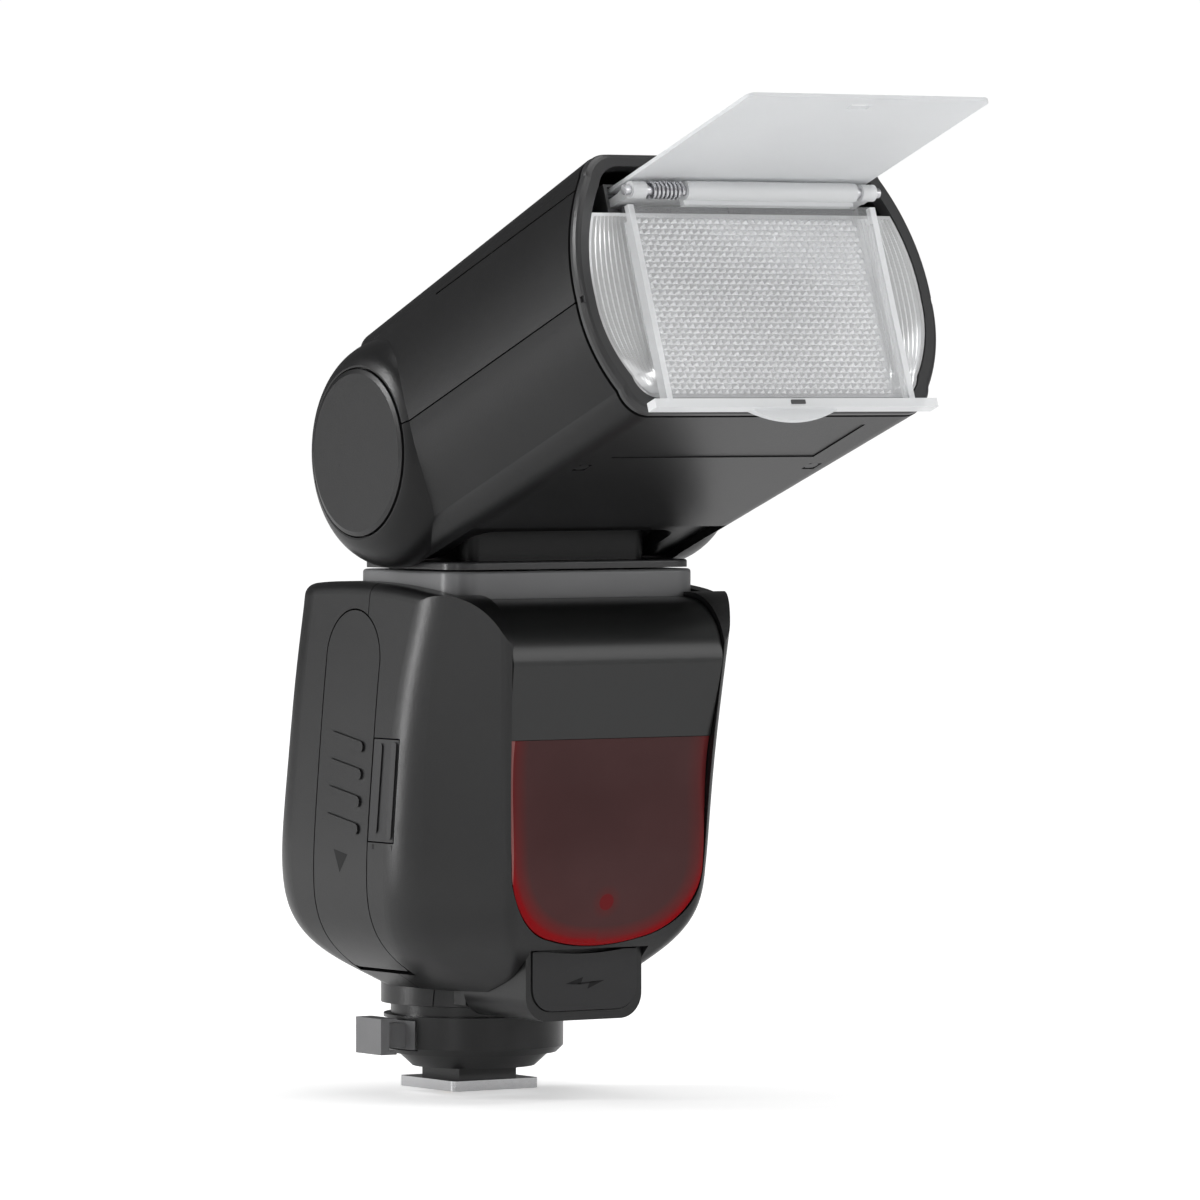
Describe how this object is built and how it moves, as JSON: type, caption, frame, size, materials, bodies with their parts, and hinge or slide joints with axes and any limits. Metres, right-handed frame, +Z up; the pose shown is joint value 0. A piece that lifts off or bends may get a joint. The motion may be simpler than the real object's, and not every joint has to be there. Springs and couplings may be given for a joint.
{
  "type": "speedlight flash",
  "caption": "Shoe-mounted camera flash with a tilting, swivelling zoom head, bounce card, flip-down wide panel, sensor window and rear controls.",
  "frame": {"origin": "centre of the hot-shoe foot plate's underside", "axes": "+Z up; the front with the sensor window faces -Y; +X is on the viewer's right from the front"},
  "size_m": [0.0748, 0.1501, 0.1793],
  "materials": {
    "shell_black": "fine-textured satin black",
    "gloss_black": "semi-gloss black",
    "red_filter": "dark translucent red",
    "button_black": "matte black",
    "rubber_black": "matte rubber",
    "steel": "satin bright",
    "shaft_steel": "turned",
    "screw_black": "black oxide",
    "gold": "gold plated",
    "lens_clear": "prismatic clear plastic",
    "panel_clear": "clear ribbed plastic",
    "card_white": "frosted white",
    "display_glass": "clear window",
    "display_grey": "grey-green display",
    "reflector_bright": "polished",
    "tube_glass": "clear",
    "board_green": "solder resist",
    "inner_grey": "moulded",
    "cell_wrap": "printed sleeve",
    "capacitor_wrap": "sleeved",
    "lamp_clear": "clear",
    "port_metal": "bright"
  },
  "bodies": {
    "casing": {"front_shell": "shell_black", "rear_shell": "shell_black", "brow_panel": "gloss_black", "sensor_window": "red_filter", "cells": "cell_wrap", "cell_tray": "inner_grey", "main_capacitor": "capacitor_wrap", "main_board": "board_green", "sensor_board": "board_green", "infrared_sensor": "gloss_black", "focus_lamps": "lamp_clear", "connector_block": "shell_black", "power_socket": "inner_grey", "usb_socket": "port_metal", "control_fascia": "gloss_black", "display_window": "display_glass", "display_panel": "display_grey", "foot_plate": "steel", "foot_base": "shell_black", "foot_screws": "steel", "swivel_platform": "shell_black"},
    "door": {"battery_door": "shell_black"},
    "side_flap": {"side_flap": "rubber_black"},
    "front_flap": {"front_flap": "rubber_black"},
    "dial": {"select_dial": "button_black"},
    "set_button": {"set_button": "button_black"},
    "soft_key_1": {"soft_key_1": "button_black"},
    "soft_key_2": {"soft_key_2": "button_black"},
    "soft_key_3": {"soft_key_3": "button_black"},
    "soft_key_4": {"soft_key_4": "button_black"},
    "mode_button": {"mode_button": "button_black"},
    "wireless_button": {"wireless_button": "button_black"},
    "test_button": {"test_button": "red_filter"},
    "power_switch": {"power_switch": "button_black"},
    "lock_lever": {"lock_lever": "inner_grey"},
    "lock_pin": {"lock_pin": "steel"},
    "contact_pins": {"contact_pins": "gold"},
    "yoke": {"turntable": "inner_grey", "swivel_shaft": "shaft_steel", "yoke": "shell_black"},
    "head": {"head_top_shell": "shell_black", "head_bottom_shell": "shell_black", "bezel": "gloss_black", "lens": "lens_clear", "hinge_cover_left": "shell_black", "hinge_cover_right": "shell_black", "tilt_shaft": "shaft_steel", "card_tray": "inner_grey", "panel_carrier": "panel_clear", "hinge_bar": "shaft_steel", "hinge_spring": "shaft_steel", "zoom_motor": "inner_grey", "zoom_rail": "shaft_steel", "head_screws": "screw_black"},
    "bounce_card": {"bounce_card": "card_white"},
    "wide_panel": {"wide_panel": "panel_clear"},
    "zoom_carriage": {"reflector": "reflector_bright", "flash_tube": "tube_glass", "zoom_carriage": "inner_grey"},
    "zoom_screw": {"zoom_screw": "shaft_steel"}
  },
  "joints": [
    {"name": "head_swivel", "type": "hinge", "parent": "casing", "child": "yoke", "pos_m": [0, -0.0195, 0.096], "axis": [0, 0, 1], "range_deg": [-150, 180]},
    {"name": "head_tilt", "type": "hinge", "parent": "yoke", "child": "head", "pos_m": [0, -0.0195, 0.1168], "axis": [-1, 0, 0], "range_deg": [-20, 100]},
    {"name": "bounce_card_slide", "type": "slide", "parent": "head", "child": "bounce_card", "axis": [0, 0.9397, -0.342], "range_m": [0, 0.043]},
    {"name": "wide_panel_flip", "type": "hinge", "parent": "head", "child": "wide_panel", "pos_m": [0, -0.09141, 0.16277], "axis": [-1, 0, 0], "range_deg": [0, 88]},
    {"name": "zoom_slide", "type": "slide", "parent": "head", "child": "zoom_carriage", "axis": [0, 0.9397, -0.342], "range_m": [0, 0.015]},
    {"name": "zoom_screw_turn", "type": "hinge", "parent": "head", "child": "zoom_screw", "pos_m": [-0.0265, -0.07759, 0.13262], "axis": [0, 0.9397, -0.342], "range_deg": [0, 1800]},
    {"name": "lock_lever_turn", "type": "hinge", "parent": "casing", "child": "lock_lever", "pos_m": [0, -0.0015, 0.01], "axis": [0, 0, -1], "range_deg": [0, 60]},
    {"name": "lock_pin_drop", "type": "slide", "parent": "casing", "child": "lock_pin", "axis": [0, 0, -1], "range_m": [0, 0.0016]},
    {"name": "contact_pins_press", "type": "slide", "parent": "casing", "child": "contact_pins", "axis": [0, 0, 1], "range_m": [0, 0.0005], "stiffness_N_per_m": 600, "springref_m": -0.0005},
    {"name": "battery_door_open", "type": "hinge", "parent": "casing", "child": "door", "pos_m": [-0.0229, -0.0073, 0.024], "axis": [0, -1, 0], "range_deg": [0, 85]},
    {"name": "side_flap_open", "type": "hinge", "parent": "casing", "child": "side_flap", "pos_m": [-0.0331, -0.02718, 0.0562], "axis": [0, -0.0802, 0.9968], "range_deg": [0, 95]},
    {"name": "front_flap_open", "type": "hinge", "parent": "casing", "child": "front_flap", "pos_m": [0, -0.03855, 0.0163], "axis": [1, 0, 0], "range_deg": [0, 90]},
    {"name": "dial_turn", "type": "hinge", "parent": "casing", "child": "dial", "pos_m": [0, 0.01965, 0.04569], "axis": [0, 0.9934, 0.1149], "continuous": true},
    {"name": "set_button_press", "type": "slide", "parent": "casing", "child": "set_button", "axis": [0, -0.9934, -0.1149], "range_m": [0, 0.0008], "stiffness_N_per_m": 900, "springref_m": -0.0004},
    {"name": "soft_key_1_press", "type": "slide", "parent": "casing", "child": "soft_key_1", "axis": [0, -0.9934, -0.1149], "range_m": [0, 0.0008], "stiffness_N_per_m": 900, "springref_m": -0.0004},
    {"name": "soft_key_2_press", "type": "slide", "parent": "casing", "child": "soft_key_2", "axis": [0, -0.9934, -0.1149], "range_m": [0, 0.0008], "stiffness_N_per_m": 900, "springref_m": -0.0004},
    {"name": "soft_key_3_press", "type": "slide", "parent": "casing", "child": "soft_key_3", "axis": [0, -0.9934, -0.1149], "range_m": [0, 0.0008], "stiffness_N_per_m": 900, "springref_m": -0.0004},
    {"name": "soft_key_4_press", "type": "slide", "parent": "casing", "child": "soft_key_4", "axis": [0, -0.9934, -0.1149], "range_m": [0, 0.0008], "stiffness_N_per_m": 900, "springref_m": -0.0004},
    {"name": "mode_button_press", "type": "slide", "parent": "casing", "child": "mode_button", "axis": [0, -0.9934, -0.1149], "range_m": [0, 0.0008], "stiffness_N_per_m": 900, "springref_m": -0.0004},
    {"name": "wireless_button_press", "type": "slide", "parent": "casing", "child": "wireless_button", "axis": [0, -0.9934, -0.1149], "range_m": [0, 0.0008], "stiffness_N_per_m": 900, "springref_m": -0.0004},
    {"name": "test_button_press", "type": "slide", "parent": "casing", "child": "test_button", "axis": [0, -0.9934, -0.1149], "range_m": [0, 0.0008], "stiffness_N_per_m": 900, "springref_m": -0.0004},
    {"name": "power_switch_slide", "type": "slide", "parent": "casing", "child": "power_switch", "axis": [0, -0.1149, 0.9934], "range_m": [0, 0.0032]}
  ],
  "couplings": [
    {"joint": "zoom_screw_turn", "follows": "zoom_slide", "rad_per_m": 2094.4},
    {"joint": "lock_lever_turn", "follows": "lock_pin_drop", "rad_per_m": 654.5}
  ]
}
